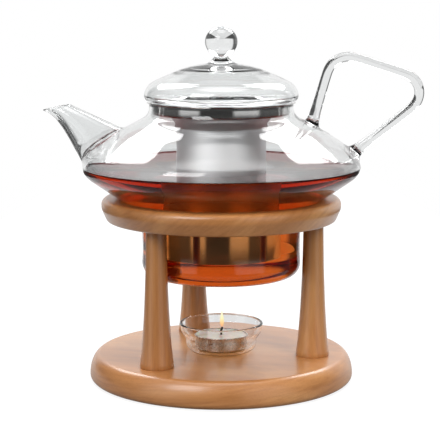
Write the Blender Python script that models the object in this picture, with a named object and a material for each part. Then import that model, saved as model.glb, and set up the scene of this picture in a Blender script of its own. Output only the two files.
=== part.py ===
"""Glass teapot on a wooden tealight warmer.

Frame: origin at the centre of the base's underside, +Z up, the pot's axis on Z, the handle towards +X and
the spout towards -X. Lengths below are in millimetres, and MM turns them into Blender's metres where a
mesh or a location is made. Angles are in degrees.
"""

import math

import bmesh
import bpy
from mathutils import Vector

MM = 0.001
GAP = 0.3                      # clearance between pieces that touch
LARGE_SIDES = 40               # sides of the pot, ring and base
MEDIUM_SIDES = 32              # sides of the lid, infuser and candle holder
SMALL_SIDES = 20               # sides of the knob, legs, spout and tealight
TINY_SIDES = 12                # sides of the handle rod, dowels, screws and wick
ARC_STEP = 45.0                # largest turn between two points of an arc
FINE_ARC_STEP = 22.5           # the same where a small arc is seen closely
ARC_PIECE = 14.0               # usual distance between two points of a long arc
SHARP_ANGLE = 35.0             # edges that turn more than this stay sharp in shading
MERGE_DISTANCE = 0.001         # joins the points where a turned outline meets its axis

# Wooden warmer
BASE_RADIUS = 95.2
BASE_HEIGHT = 18.8
BASE_WIDEST_Z = 3.8
BASE_TOP_RADIUS = 87.2
RING_BOTTOM_Z = 115.6
RING_TOP_Z = 131.4
RING_RADIUS = 85.9
RING_BOTTOM_RADIUS = 82.0
RING_BORE_RADIUS = 61.3
RING_SIDE_CORNER_Z = 124.5
RING_SIDE_BEND = 8.0
RING_TOP_BEND = 3.6
RING_BOTTOM_BEND = 2.0
RING_BORE_BEND = 1.0
LEG_CIRCLE_RADIUS = 67.0
LEG_ANGLES = {"front_left": -132.0, "right": -12.0, "back": 108.0}
LEG_TOP_RADIUS = 7.1
LEG_PROFILE = ((7.65, 84.0), (8.85, 56.0), (10.15, 36.0), (12.0, BASE_HEIGHT + GAP))
DOWEL_RADIUS = 4.0
DOWEL_IN_LEG = 12.0
DOWEL_IN_RING = 5.4
SCREW_RADIUS = 2.0
SCREW_HEAD_RADIUS = 4.2
SCREW_HEAD_HEIGHT = 2.4
SCREW_RECESS = 0.5
SCREW_LENGTH = 41.0
SCREW_CROSS_WIDTH = 1.2
SCREW_CROSS_LENGTH = 4.8
SCREW_CROSS_DEPTH = 1.5
SCREW_HEAD_EDGE = 0.3
SCREW_POINT_LENGTH = 4.0

# Glass pot
POT_WALL = 2.0
POT_BOTTOM_Z = 75.0
NECK_RADIUS = 51.3
NECK_TOP_Z = 199.0
NECK_FOOT_Z = 190.3
NECK_FOOT_BEND = 7.0
SHOULDER_CORNER = (75.1, 179.5)
SHOULDER_BEND = 180.0
EQUATOR_CORNER = (107.65, 154.97)      # where the upper and lower cones would meet
EQUATOR_BEND = 11.1
WELL_TOP_CORNER = (57.6, 120.3)
WELL_TOP_BEND = 10.0
WELL_WAIST = (56.2, 94.0)
WELL_WAIST_BEND = 150.0
WELL_BOTTOM_RADIUS = 57.8
WELL_BOTTOM_BEND = 9.0

# Spout, as its upper and lower outlines in the X-Z plane
SPOUT_WALL = 1.8
SPOUT_UPPER_ROOT = (-61.7, 176.8)
SPOUT_UPPER_TIP = (-106.4, 197.4)
SPOUT_LOWER = ((-96.8, 151.2), (-109.0, 174.4), (-115.6, 190.4), (-126.5, 193.6))
SPOUT_STATIONS = 9
SPOUT_ROOT_DEPTH = 16.5                # half its width along Y at the root
SPOUT_TIP_DEPTH = 7.6
SPOUT_BORE_REACH = 1.1                 # how far the bore runs along the spout, 1 being its mouth

# Handle, as the corners of its centre line in the X-Z plane and their bend radii
HANDLE_ROD_RADIUS = 3.5
HANDLE_ROOT_RADIUS = 5.6
HANDLE_FLARE_LENGTH = 12.0
HANDLE_UPPER_ROOT = (63.3, 179.8)
HANDLE_TOP_CORNER = (79.6, 235.9, 15.0)
HANDLE_OUTER_CORNER = (156.0, 211.4, 13.6)
HANDLE_LOWER_ROOT = (92.2, 161.8)
HANDLE_RUN_STEP = 12.0

# Steel infuser
INFUSER_SHEET = 0.9
INFUSER_LIP_RADIUS = 53.0
INFUSER_LIP_BEND = 0.6
INFUSER_COLLAR_RADIUS = 49.0
INFUSER_SHOULDER_Z = 190.6
INFUSER_SHOULDER_BEND = 2.0
INFUSER_CONE_RADIUS = 36.8
INFUSER_CONE_TOP_Z = 189.2
INFUSER_CONE_BEND = 2.5
INFUSER_CONE_END_RADIUS = 33.4
INFUSER_CONE_END_Z = 181.2
BASKET_RADIUS = 32.0
BASKET_SHEET = 0.7
BASKET_TOP_Z = 188.0
BASKET_WALL_BOTTOM_Z = 88.6
BASKET_BOTTOM_Z = 88.0
BASKET_BOTTOM_BEND = 1.6
BASKET_BOTTOM_FLANGE = 3.0
BASKET_HOLE_RADIUS = 1.6
BASKET_HOLE_PITCH = 9.0
BASKET_HOLE_RINGS = 2
BASKET_HOLES_PER_RING = 6           # in the first ring, twice as many in the next
BASKET_HOLE_SIDES = 6
BASKET_HOLE_DEPTH = 4.0

# Glass lid
LID_WALL = 2.0
LID_RADIUS = 55.0
LID_RIM_Z = NECK_TOP_Z + GAP + INFUSER_SHEET + GAP
LID_TOP_Z = 227.2
LID_TOP_FLAT_RADIUS = 10.0
LID_UPPER_CORNER = (26.0, 224.4)
LID_UPPER_BEND = 60.0
LID_OUTER_CORNER_Z = 211.4
LID_OUTER_BEND = 11.5
LID_RIM_BEND = 3.4
LID_SKIRT_RADIUS = 46.5
LID_SKIRT_BEND = 1.0
LID_SKIRT_BOTTOM_Z = 193.5
KNOB_CENTRE_Z = 242.3
KNOB_RADIUS = 11.55
KNOB_HALF_HEIGHT = 10.75
KNOB_NECK_RADIUS = 4.3
KNOB_FOOT_RADIUS = 8.1
KNOB_NECK_Z = 231.2
KNOB_FOOT_EDGE = 0.4

# Candle holder and tealight
HOLDER_WALL = 1.5
HOLDER_BOTTOM_Z = BASE_HEIGHT + GAP
HOLDER_RADIUS = 25.6
HOLDER_FOOT_BEND = 6.5
HOLDER_FLARE_Z = 28.5
HOLDER_FLARE_BEND = 4.0
HOLDER_BOWL_CORNER = (29.2, 33.0)
HOLDER_BOWL_BEND = 7.0
HOLDER_RIM_RADIUS = 30.3
HOLDER_RIM_Z = 39.5
CUP_RADIUS = 19.4
CUP_SHEET = 0.6
CUP_BOTTOM_Z = HOLDER_BOTTOM_Z + HOLDER_WALL + GAP
CUP_HEIGHT = 10.0
CUP_BEND = 1.4
WAX_BOTTOM_Z = CUP_BOTTOM_Z + CUP_SHEET + GAP
WAX_TOP_Z = 30.0
WICK_RADIUS = 0.8
WICK_BEND_Z = 33.6
WICK_TIP = (0.9, 35.8)
SUSTAINER_RADIUS = 8.0
SUSTAINER_SHEET = 0.5
SUSTAINER_TUBE_RADIUS = 1.8
SUSTAINER_TUBE_TOP_Z = 26.0

# Colours, as sRGB values from 0 to 255
WOOD_COLOUR = (176, 132, 96)
DOWEL_COLOUR = (206, 170, 128)
GLASS_COLOUR = (232, 238, 238)
STEEL_COLOUR = (190, 190, 188)
ALUMINIUM_COLOUR = (205, 205, 205)
ZINC_COLOUR = (170, 172, 170)
WAX_COLOUR = (236, 230, 216)
WICK_COLOUR = (46, 40, 34)


# ---------------------------------------------------------------- outlines

def arc(centre, radii, start, end, step):
    """Points of an elliptical arc from the start angle to the end angle, at most a step apart."""
    steps = math.ceil(abs(end - start) / step)
    points = []
    for index in range(steps + 1):
        angle = math.radians(start + (end - start) * index / steps)
        points.append((centre[0] + radii[0] * math.cos(angle), centre[1] + radii[1] * math.sin(angle)))
    return points


def bend(before, corner, after, radius):
    """Points of the arc of this radius that rounds a corner between two other points."""
    to_before = (Vector(before[:2]) - Vector(corner[:2])).normalized()
    to_after = (Vector(after[:2]) - Vector(corner[:2])).normalized()
    half_angle = to_before.angle(to_after) / 2
    centre = Vector(corner[:2]) + (to_before + to_after).normalized() * radius / math.sin(half_angle)
    start = Vector(corner[:2]) + to_before * radius / math.tan(half_angle)
    end = Vector(corner[:2]) + to_after * radius / math.tan(half_angle)
    turn = math.pi - 2 * half_angle
    steps = max(math.ceil(math.degrees(turn) / ARC_STEP), round(turn * radius / ARC_PIECE))
    points = []
    for index in range(steps + 1):
        spoke = (start - centre).slerp(end - centre, index / steps).normalized()
        points.append(tuple(centre + spoke * radius))
    return points


def rounded_path(corners):
    """An open path through (x, z) ends and (x, z, bend radius) corners."""
    points = [corners[0][:2]]
    for before, corner, after in zip(corners, corners[1:], corners[2:]):
        if len(corner) == 3:
            points += bend(before, corner, after, corner[2])
        else:
            points.append(corner)
    points.append(corners[-1][:2])
    return points


def rounded_loop(corners):
    """A closed outline through (x, z, bend radius) corners."""
    points = []
    for index, corner in enumerate(corners):
        points += bend(corners[index - 1], corner, corners[(index + 1) % len(corners)], corner[2])
    return points


def offset_path(path, distance):
    """The path moved sideways, to the right of its direction when distance is positive."""
    points = [Vector(point) for point in path]
    moved = []
    for index, point in enumerate(points):
        before = points[max(index - 1, 0)]
        after = points[min(index + 1, len(points) - 1)]
        arriving = (point - before) if index else (after - point)
        leaving = (after - point) if index < len(points) - 1 else (point - before)
        direction = (arriving.normalized() + leaving.normalized()).normalized()
        stretch = 1 / direction.dot(arriving.normalized())
        moved.append(tuple(point + Vector((direction.y, -direction.x)) * distance * stretch))
    return moved


def shell_profile(outer_path, wall):
    """A closed sheet profile: a path that starts on the axis, and its offset back to the axis."""
    inner_path = offset_path(outer_path, wall)
    inner_path[0] = (0.0, inner_path[0][1])
    return outer_path + inner_path[::-1]


def bezier(control_points, t):
    """The point at t on a cubic Bezier curve in the X-Z plane."""
    weights = ((1 - t) ** 3, 3 * t * (1 - t) ** 2, 3 * t * t * (1 - t), t ** 3)
    return sum((Vector(point) * weight for point, weight in zip(control_points, weights)), Vector((0, 0)))


# ---------------------------------------------------------------- solids

def srgb(colour):
    """The linear colour of an sRGB one."""
    linear = []
    for value in colour:
        value = value / 255
        linear.append(value / 12.92 if value <= 0.04045 else ((value + 0.055) / 1.055) ** 2.4)
    return (*linear, 1.0)


def make_material(name, colour, roughness, metallic=0.0, transmission=0.0):
    """A Principled BSDF material with one colour."""
    material = bpy.data.materials.new(name)
    material.use_nodes = True
    shader = material.node_tree.nodes["Principled BSDF"]
    shader.inputs["Base Color"].default_value = srgb(colour)
    shader.inputs["Roughness"].default_value = roughness
    shader.inputs["Metallic"].default_value = metallic
    shader.inputs["Transmission Weight"].default_value = transmission
    material.diffuse_color = srgb(colour)
    return material


def make_object(name, mesh_builder, material=None, location=(0, 0, 0)):
    """An object from a bmesh: its faces point out and its round sides are smooth."""
    bmesh.ops.recalc_face_normals(mesh_builder, faces=mesh_builder.faces[:])
    mesh = bpy.data.meshes.new(name)
    mesh_builder.to_mesh(mesh)
    mesh_builder.free()
    mesh.shade_smooth()
    mesh.set_sharp_from_angle(angle=math.radians(SHARP_ANGLE))
    made = bpy.data.objects.new(name, mesh)
    made.location = Vector(location) * MM
    if material:
        mesh.materials.append(material)
    bpy.context.collection.objects.link(made)
    return made


def make_cutter(cutter):
    """Marks an object as a cutting tool, which isn't part of the model."""
    cutter.hide_render = True
    cutter.display_type = "WIRE"
    return cutter


def turned(name, profile, sides, material=None, location=(0, 0, 0)):
    """A solid turned about Z from a closed (radius, z) outline, or from one between two axis points."""
    builder = bmesh.new()
    ring = [builder.verts.new((radius * MM, 0, z * MM)) for radius, z in profile]
    edges = [builder.edges.new(pair) for pair in zip(ring, ring[1:])]
    if profile[0][0] > 0 or profile[-1][0] > 0:
        edges.append(builder.edges.new((ring[-1], ring[0])))
    bmesh.ops.spin(builder, geom=ring + edges, cent=(0, 0, 0), axis=(0, 0, 1), angle=2 * math.pi,
                   steps=sides, use_merge=True)
    bmesh.ops.remove_doubles(builder, verts=builder.verts[:], dist=MERGE_DISTANCE * MM)
    return make_object(name, builder, material, location)


def lofted(name, rings, material=None, location=(0, 0, 0)):
    """A solid skinned over closed rings of points, with flat ends."""
    builder = bmesh.new()
    rows = [[builder.verts.new(point * MM) for point in ring] for ring in rings]
    for row, next_row in zip(rows, rows[1:]):
        for index in range(len(row)):
            following = (index + 1) % len(row)
            builder.faces.new((row[index], row[following], next_row[following], next_row[index]))
    builder.faces.new(rows[0])
    builder.faces.new(rows[-1])
    return make_object(name, builder, material, location)


def ellipse_ring(centre, half_width, half_depth, sides):
    """Points around an ellipse: half_width is a vector in the X-Z plane, half_depth a length along Y."""
    ring = []
    for index in range(sides):
        angle = 2 * math.pi * index / sides
        across = half_width * math.cos(angle)
        ring.append(Vector((centre.x + across.x, half_depth * math.sin(angle), centre.y + across.y)))
    return ring


def rod(name, path, radii, sides, material, location=(0, 0, 0)):
    """A round rod along a path in the X-Z plane, with one radius for each point."""
    rings = []
    points = [Vector(point) for point in path]
    for index, point in enumerate(points):
        along = points[min(index + 1, len(points) - 1)] - points[max(index - 1, 0)]
        side = Vector((along.y, -along.x)).normalized()
        rings.append(ellipse_ring(point, side * radii[index], radii[index], sides))
    return lofted(name, rings, material, location)


def prism(name, outline, bottom, top, location):
    """An upright prism from an outline in the X-Y plane."""
    rings = [[Vector((x, y, z)) for x, y in outline] for z in (bottom, top)]
    return lofted(name, rings, None, location)


def cut(target, cutter):
    """Takes the cutter's shape out of the target."""
    modifier = target.modifiers.new("cut_" + cutter.name, "BOOLEAN")
    modifier.operation = "DIFFERENCE"
    modifier.solver = "EXACT"
    modifier.object = cutter


# ---------------------------------------------------------------- pot

def bowl_outer_path():
    """The pot's outside from just under the neck's rim down to the axis."""
    return rounded_path([
        (NECK_RADIUS, NECK_TOP_Z - POT_WALL / 2),
        (NECK_RADIUS, NECK_FOOT_Z, NECK_FOOT_BEND),
        (*SHOULDER_CORNER, SHOULDER_BEND),
        (*EQUATOR_CORNER, EQUATOR_BEND),
        (*WELL_TOP_CORNER, WELL_TOP_BEND),
        (*WELL_WAIST, WELL_WAIST_BEND),
        (WELL_BOTTOM_RADIUS, POT_BOTTOM_Z, WELL_BOTTOM_BEND),
        (0.0, POT_BOTTOM_Z),
    ])


def make_bowl_envelope():
    """The space that the bowl fills with its inside, a gap wider all round."""
    outside = offset_path(bowl_outer_path(), -GAP)
    profile = [(0.0, NECK_TOP_Z)] + outside[:-1] + [(0.0, outside[-1][1])]
    return make_cutter(turned("bowl_envelope", profile, LARGE_SIDES))


def make_pot_bowl(glass):
    """The blown body, open at its neck, with a round rim."""
    outside = bowl_outer_path()
    inside = offset_path(outside, POT_WALL)
    inside[-1] = (0.0, inside[-1][1])
    rim_centre = (NECK_RADIUS - POT_WALL / 2, NECK_TOP_Z - POT_WALL / 2)
    rim = arc(rim_centre, (POT_WALL / 2, POT_WALL / 2), 180, 0, ARC_STEP)
    profile = inside[::-1] + rim[1:-1] + outside
    return turned("pot_bowl", profile, LARGE_SIDES, glass)


def spout_rings(wall=0.0, reach=1.0):
    """Rings of the spout at this depth below its outer surface, from the root towards the mouth at 1."""
    rings = []
    for index in range(SPOUT_STATIONS):
        t = reach * index / (SPOUT_STATIONS - 1)
        upper = Vector(SPOUT_UPPER_ROOT).lerp(Vector(SPOUT_UPPER_TIP), t)
        lower = bezier(SPOUT_LOWER, t)
        half_width = (upper - lower) / 2
        half_width *= 1 - wall / half_width.length
        half_depth = SPOUT_ROOT_DEPTH + (SPOUT_TIP_DEPTH - SPOUT_ROOT_DEPTH) * t - wall
        rings.append(ellipse_ring((upper + lower) / 2, half_width, half_depth, SMALL_SIDES))
    return rings


def make_spout_bore():
    """The spout's inside, run on past its mouth."""
    return make_cutter(lofted("spout_bore", spout_rings(SPOUT_WALL, SPOUT_BORE_REACH)))


def handle_path():
    """Points of the handle's centre line, with the straight runs cut into shorter ones."""
    corners = [HANDLE_UPPER_ROOT, HANDLE_TOP_CORNER, HANDLE_OUTER_CORNER, HANDLE_LOWER_ROOT]
    points = [Vector(point) for point in rounded_path(corners)]
    path = [points[0]]
    for start, end in zip(points, points[1:]):
        pieces = max(1, round((end - start).length / HANDLE_RUN_STEP))
        path += [start.lerp(end, piece / pieces) for piece in range(1, pieces + 1)]
    return path


def handle_radius(point):
    """The rod's radius, which grows towards the two roots."""
    upper_distance = (point - Vector(HANDLE_UPPER_ROOT)).length
    lower_distance = (point - Vector(HANDLE_LOWER_ROOT)).length
    nearness = max(0.0, 1 - min(upper_distance, lower_distance) / HANDLE_FLARE_LENGTH)
    return HANDLE_ROD_RADIUS + (HANDLE_ROOT_RADIUS - HANDLE_ROD_RADIUS) * nearness


def make_handle(glass):
    """The solid glass rod loop."""
    path = handle_path()
    return rod("handle", path, [handle_radius(point) for point in path], TINY_SIDES, glass)


def make_pot(glass):
    """The bowl with the spout and the handle that are fused to it."""
    envelope = make_bowl_envelope()
    bore = make_spout_bore()
    bowl = make_pot_bowl(glass)
    cut(bowl, bore)
    spout = lofted("spout", spout_rings(), glass)
    cut(spout, bore)
    cut(spout, envelope)
    handle = make_handle(glass)
    cut(handle, envelope)
    return [bowl, spout, handle]


# ---------------------------------------------------------------- lid

def make_lid_dome(glass):
    """The hollow dome, its folded rim, and the skirt that drops into the infuser's collar."""
    outside = rounded_path([
        (0.0, LID_TOP_Z),
        (LID_TOP_FLAT_RADIUS, LID_TOP_Z),
        (*LID_UPPER_CORNER, LID_UPPER_BEND),
        (LID_RADIUS, LID_OUTER_CORNER_Z, LID_OUTER_BEND),
        (LID_RADIUS, LID_RIM_Z, LID_RIM_BEND),
        (LID_SKIRT_RADIUS, LID_RIM_Z, LID_SKIRT_BEND),
        (LID_SKIRT_RADIUS, LID_SKIRT_BOTTOM_Z),
    ])
    return turned("lid_dome", shell_profile(outside, LID_WALL), MEDIUM_SIDES, glass)


def make_lid_knob(glass):
    """The solid ball on its flared foot."""
    foot_z = LID_TOP_Z + GAP
    flare_radii = (KNOB_FOOT_RADIUS - KNOB_NECK_RADIUS, KNOB_NECK_Z - foot_z - KNOB_FOOT_EDGE)
    flare = arc((KNOB_FOOT_RADIUS, KNOB_NECK_Z), flare_radii, 270, 180, FINE_ARC_STEP)
    ball_start = -math.degrees(math.acos(KNOB_NECK_RADIUS / KNOB_RADIUS))
    ball = arc((0.0, KNOB_CENTRE_Z), (KNOB_RADIUS, KNOB_HALF_HEIGHT), ball_start, 90, FINE_ARC_STEP)
    profile = [(0.0, foot_z), (KNOB_FOOT_RADIUS, foot_z)] + flare + ball[:-1] + [(0.0, ball[-1][1])]
    return turned("lid_knob", profile, SMALL_SIDES, glass)


def make_lid(glass):
    """The glass lid with its knob."""
    return [make_lid_dome(glass), make_lid_knob(glass)]


# ---------------------------------------------------------------- infuser

def make_infuser_rim(steel):
    """The lip over the pot's rim, the collar inside its neck, the shoulder and the cone to the basket."""
    lip_z = NECK_TOP_Z + GAP
    underside = rounded_path([
        (INFUSER_LIP_RADIUS, lip_z),
        (INFUSER_COLLAR_RADIUS, lip_z, INFUSER_LIP_BEND),
        (INFUSER_COLLAR_RADIUS, INFUSER_SHOULDER_Z, INFUSER_SHOULDER_BEND),
        (INFUSER_CONE_RADIUS, INFUSER_CONE_TOP_Z, INFUSER_CONE_BEND),
        (INFUSER_CONE_END_RADIUS, INFUSER_CONE_END_Z),
    ])
    profile = underside + offset_path(underside, INFUSER_SHEET)[::-1]
    return turned("infuser_rim", profile, MEDIUM_SIDES, steel)


def make_infuser_wall(steel):
    """The basket's tube."""
    inner_radius = BASKET_RADIUS - BASKET_SHEET
    profile = [
        (inner_radius, BASKET_WALL_BOTTOM_Z),
        (BASKET_RADIUS, BASKET_WALL_BOTTOM_Z),
        (BASKET_RADIUS, BASKET_TOP_Z),
        (inner_radius, BASKET_TOP_Z),
    ]
    return turned("infuser_wall", profile, MEDIUM_SIDES, steel)


def make_basket_holes():
    """The holes in the basket's bottom: one in the middle and rings of six, twelve and so on around it."""
    builder = bmesh.new()
    centres = [(0.0, 0.0)]
    for ring in range(1, BASKET_HOLE_RINGS + 1):
        radius = ring * BASKET_HOLE_PITCH
        count = BASKET_HOLES_PER_RING * ring
        for index in range(count):
            angle = 2 * math.pi * index / count
            centres.append((radius * math.cos(angle), radius * math.sin(angle)))
    for x, y in centres:
        made = bmesh.ops.create_cone(builder, cap_ends=True, segments=BASKET_HOLE_SIDES,
                                     depth=BASKET_HOLE_DEPTH * MM, radius1=BASKET_HOLE_RADIUS * MM,
                                     radius2=BASKET_HOLE_RADIUS * MM)
        bmesh.ops.translate(builder, verts=made["verts"], vec=Vector((x, y, BASKET_BOTTOM_Z)) * MM)
    return make_cutter(make_object("basket_holes", builder))


def make_infuser_bottom(steel):
    """The dished, perforated bottom, whose upturned edge fits inside the basket's tube."""
    edge_radius = BASKET_RADIUS - BASKET_SHEET - GAP
    outside = rounded_path([
        (0.0, BASKET_BOTTOM_Z),
        (edge_radius, BASKET_BOTTOM_Z, BASKET_BOTTOM_BEND),
        (edge_radius, BASKET_BOTTOM_Z + BASKET_BOTTOM_FLANGE),
    ])
    bottom = turned("infuser_bottom", shell_profile(outside, -BASKET_SHEET), MEDIUM_SIDES, steel)
    cut(bottom, make_basket_holes())
    return bottom


def make_infuser(steel):
    """The steel infuser that hangs in the neck."""
    return [make_infuser_rim(steel), make_infuser_wall(steel), make_infuser_bottom(steel)]


# ---------------------------------------------------------------- wooden warmer

def make_stand_ring(wood):
    """The ring: its conical seat lies a gap below the pot's lower cone."""
    rise = (EQUATOR_CORNER[1] - WELL_TOP_CORNER[1]) / (EQUATOR_CORNER[0] - WELL_TOP_CORNER[0])
    drop = GAP * math.hypot(1, rise)
    bore_top_z = WELL_TOP_CORNER[1] + rise * (RING_BORE_RADIUS - WELL_TOP_CORNER[0]) - drop
    seat_top_radius = RING_BORE_RADIUS + (RING_TOP_Z - bore_top_z) / rise
    profile = rounded_loop([
        (RING_BORE_RADIUS, RING_BOTTOM_Z, RING_BORE_BEND),
        (RING_BOTTOM_RADIUS, RING_BOTTOM_Z, RING_BOTTOM_BEND),
        (RING_RADIUS, RING_SIDE_CORNER_Z, RING_SIDE_BEND),
        (RING_RADIUS, RING_TOP_Z, RING_TOP_BEND),
        (seat_top_radius, RING_TOP_Z, RING_BORE_BEND),
        (RING_BORE_RADIUS, bore_top_z, RING_BORE_BEND),
    ])
    return turned("stand_ring", profile, LARGE_SIDES, wood)


def make_stand_base(wood):
    """The round base, with a small rounding below its widest line and a tall one above."""
    foot = arc((BASE_RADIUS - BASE_WIDEST_Z, BASE_WIDEST_Z), (BASE_WIDEST_Z, BASE_WIDEST_Z), -90, 0, ARC_STEP)
    side_radii = (BASE_RADIUS - BASE_TOP_RADIUS, BASE_HEIGHT - BASE_WIDEST_Z)
    side = arc((BASE_TOP_RADIUS, BASE_WIDEST_Z), side_radii, 0, 90, FINE_ARC_STEP)
    profile = [(0.0, 0.0)] + foot + side[1:] + [(0.0, BASE_HEIGHT)]
    return turned("stand_base", profile, LARGE_SIDES, wood)


def make_leg(name, wood, location):
    """A tapered leg from just above the base to just below the ring."""
    top_z = RING_BOTTOM_Z - GAP
    profile = [(0.0, top_z), (LEG_TOP_RADIUS, top_z), *LEG_PROFILE, (0.0, LEG_PROFILE[-1][1])]
    return turned(name, profile, SMALL_SIDES, wood, location)


def make_dowel(name, wood, location, grow=0.0):
    """The dowel between a leg and the ring, or the hole for it when it is grown by a gap."""
    bottom = RING_BOTTOM_Z - DOWEL_IN_LEG - grow
    top = RING_BOTTOM_Z + DOWEL_IN_RING + grow
    radius = DOWEL_RADIUS + grow
    profile = [(0.0, bottom), (radius, bottom), (radius, top), (0.0, top)]
    return turned(name, profile, TINY_SIDES, wood, location)


def make_screw(name, steel, location, grow=0.0):
    """A countersunk wood screw, head down, or the hole for it when it is grown by a gap."""
    head_z = SCREW_RECESS - grow
    shank_z = SCREW_RECESS + SCREW_HEAD_HEIGHT + grow
    tip_z = SCREW_RECESS + SCREW_LENGTH + grow
    radius = SCREW_RADIUS + grow
    head_radius = SCREW_HEAD_RADIUS + grow
    edge_z = SCREW_RECESS + SCREW_HEAD_EDGE + grow
    profile = [
        (0.0, head_z),
        (head_radius, head_z),
        (head_radius, edge_z),
        (radius, shank_z),
        (radius, tip_z - SCREW_POINT_LENGTH),
        (0.0, tip_z),
    ]
    return turned(name, profile, TINY_SIDES, steel, location)


def make_screw_cross(name, location):
    """The cross recess in a screw's head."""
    arm = SCREW_CROSS_LENGTH / 2
    half = SCREW_CROSS_WIDTH / 2
    outline = [(arm, -half), (arm, half), (half, half), (half, arm), (-half, arm), (-half, half),
               (-arm, half), (-arm, -half), (-half, -half), (-half, -arm), (half, -arm), (half, -half)]
    return make_cutter(prism(name, outline, 0.0, SCREW_RECESS + SCREW_CROSS_DEPTH, location))


def make_screw_access(name, location):
    """The short round way up to a screw's head through the base's underside."""
    radius = SCREW_HEAD_RADIUS + GAP
    below = -SCREW_RECESS
    profile = [(0.0, below), (radius, below), (radius, SCREW_RECESS), (0.0, SCREW_RECESS)]
    return make_cutter(turned(name, profile, TINY_SIDES, None, location))


def make_stand(wood, dowel_wood, zinc):
    """The base and the ring, and between them each leg with its dowel and its screw."""
    ring = make_stand_ring(wood)
    base = make_stand_base(wood)
    pieces = [ring, base]
    for side, angle in LEG_ANGLES.items():
        turn = math.radians(angle)
        location = (LEG_CIRCLE_RADIUS * math.cos(turn), LEG_CIRCLE_RADIUS * math.sin(turn), 0.0)
        leg = make_leg("leg_" + side, wood, location)
        dowel = make_dowel("dowel_" + side, dowel_wood, location)
        dowel_hole = make_cutter(make_dowel("dowel_hole_" + side, None, location, GAP))
        screw = make_screw("screw_" + side, zinc, location)
        screw_hole = make_cutter(make_screw("screw_hole_" + side, None, location, GAP))
        cut(ring, dowel_hole)
        cut(leg, dowel_hole)
        cut(leg, screw_hole)
        cut(base, screw_hole)
        cut(base, make_screw_access("screw_access_" + side, location))
        cut(screw, make_screw_cross("screw_cross_" + side, location))
        pieces += [leg, dowel, screw]
    return pieces


# ---------------------------------------------------------------- candle

def make_candle_holder(glass):
    """The glass cup with a straight foot and a flared rim."""
    outside = rounded_path([
        (0.0, HOLDER_BOTTOM_Z),
        (HOLDER_RADIUS, HOLDER_BOTTOM_Z, HOLDER_FOOT_BEND),
        (HOLDER_RADIUS, HOLDER_FLARE_Z, HOLDER_FLARE_BEND),
        (*HOLDER_BOWL_CORNER, HOLDER_BOWL_BEND),
        (HOLDER_RIM_RADIUS, HOLDER_RIM_Z),
    ])
    return turned("candle_holder", shell_profile(outside, -HOLDER_WALL), MEDIUM_SIDES, glass)


def make_tealight_cup(aluminium):
    """The drawn cup."""
    outside = rounded_path([
        (0.0, CUP_BOTTOM_Z),
        (CUP_RADIUS, CUP_BOTTOM_Z, CUP_BEND),
        (CUP_RADIUS, CUP_BOTTOM_Z + CUP_HEIGHT),
    ])
    return turned("tealight_cup", shell_profile(outside, -CUP_SHEET), SMALL_SIDES, aluminium)


def make_wick_sustainer(steel):
    """The disc under the wax with the short tube that grips the wick."""
    bore_radius = WICK_RADIUS + GAP
    disc_top = WAX_BOTTOM_Z + SUSTAINER_SHEET
    profile = [
        (bore_radius, WAX_BOTTOM_Z),
        (SUSTAINER_RADIUS, WAX_BOTTOM_Z),
        (SUSTAINER_RADIUS, disc_top),
        (SUSTAINER_TUBE_RADIUS, disc_top),
        (SUSTAINER_TUBE_RADIUS, SUSTAINER_TUBE_TOP_Z),
        (bore_radius, SUSTAINER_TUBE_TOP_Z),
    ]
    return turned("wick_sustainer", profile, TINY_SIDES, steel)


def make_tealight_wax(wax):
    """The wax, cast around the sustainer and the wick."""
    outer_radius = CUP_RADIUS - CUP_SHEET - GAP
    bore_radius = WICK_RADIUS + GAP
    disc_top = WAX_BOTTOM_Z + SUSTAINER_SHEET + GAP
    tube_top = SUSTAINER_TUBE_TOP_Z + GAP
    profile = [
        (bore_radius, WAX_TOP_Z),
        (outer_radius, WAX_TOP_Z),
        (outer_radius, WAX_BOTTOM_Z),
        (SUSTAINER_RADIUS + GAP, WAX_BOTTOM_Z),
        (SUSTAINER_RADIUS + GAP, disc_top),
        (SUSTAINER_TUBE_RADIUS + GAP, disc_top),
        (SUSTAINER_TUBE_RADIUS + GAP, tube_top),
        (bore_radius, tube_top),
    ]
    return turned("tealight_wax", profile, SMALL_SIDES, wax)


def make_tealight_wick(wick):
    """The wick, bent over at its burnt tip."""
    path = [(0.0, WAX_BOTTOM_Z), (0.0, WICK_BEND_Z), WICK_TIP]
    return rod("tealight_wick", path, [WICK_RADIUS] * len(path), TINY_SIDES, wick)


def make_tealight(aluminium, wax, wick, zinc):
    """The candle that stands in the holder."""
    return [make_tealight_cup(aluminium), make_tealight_wax(wax), make_tealight_wick(wick),
            make_wick_sustainer(zinc)]


# ---------------------------------------------------------------- assembly

def make_body(name, pieces, parent=None):
    """An empty on the pot's axis that carries the pieces which move together."""
    body = bpy.data.objects.new(name, None)
    body.parent = parent
    bpy.context.collection.objects.link(body)
    for piece in pieces:
        piece.parent = body
    return body


def build():
    """Clears the scene and makes the whole object."""
    for old in list(bpy.data.objects):
        bpy.data.objects.remove(old)
    glass = make_material("clear_glass", GLASS_COLOUR, 0.03, transmission=1.0)
    wood = make_material("alder_wood", WOOD_COLOUR, 0.42)
    dowel_wood = make_material("beech_dowel", DOWEL_COLOUR, 0.6)
    steel = make_material("stainless_steel", STEEL_COLOUR, 0.25, metallic=1.0)
    zinc = make_material("zinc_plated_steel", ZINC_COLOUR, 0.35, metallic=1.0)
    aluminium = make_material("aluminium", ALUMINIUM_COLOUR, 0.3, metallic=1.0)
    wax = make_material("wax", WAX_COLOUR, 0.35)
    wick = make_material("cotton_wick", WICK_COLOUR, 0.9)
    stand_body = make_body("stand_body", make_stand(wood, dowel_wood, zinc))
    pot_body = make_body("pot_body", make_pot(glass), stand_body)
    infuser_body = make_body("infuser_body", make_infuser(steel), pot_body)
    make_body("lid_body", make_lid(glass), infuser_body)
    holder_body = make_body("holder_body", [make_candle_holder(glass)], stand_body)
    make_body("tealight_body", make_tealight(aluminium, wax, wick, zinc), holder_body)


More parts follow.
